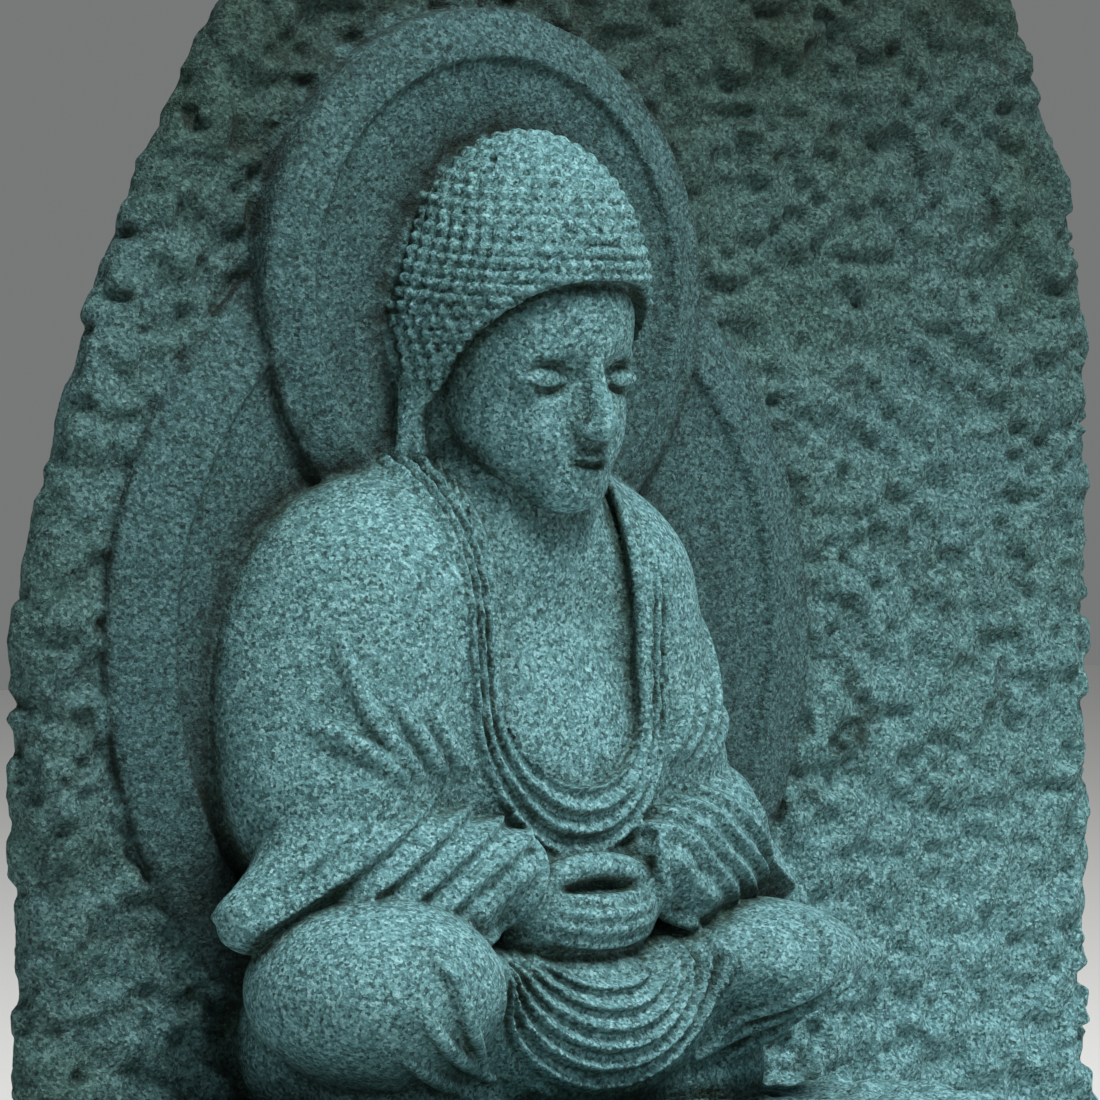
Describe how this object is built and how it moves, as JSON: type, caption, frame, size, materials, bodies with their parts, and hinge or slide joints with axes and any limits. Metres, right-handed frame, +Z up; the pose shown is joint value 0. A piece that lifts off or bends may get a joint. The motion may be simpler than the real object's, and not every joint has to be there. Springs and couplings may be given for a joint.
{
  "type": "stone buddha statue",
  "caption": "Seated meditating figure with hands in its lap, carved in high relief with stepped halo discs from a rough granite slab on a low base.",
  "frame": {"origin": "on the flat underside, below the middle of the seated figure and in the plane that the halo discs stand out from", "axes": "+Z up, the figure looks along -Y, +X is to the right as seen from in front"},
  "size_m": [0.8762, 0.4033, 0.8489],
  "materials": {
    "granite": "matte"
  },
  "bodies": {
    "root": {"stone_buddha": "granite"}
  },
  "joints": []
}
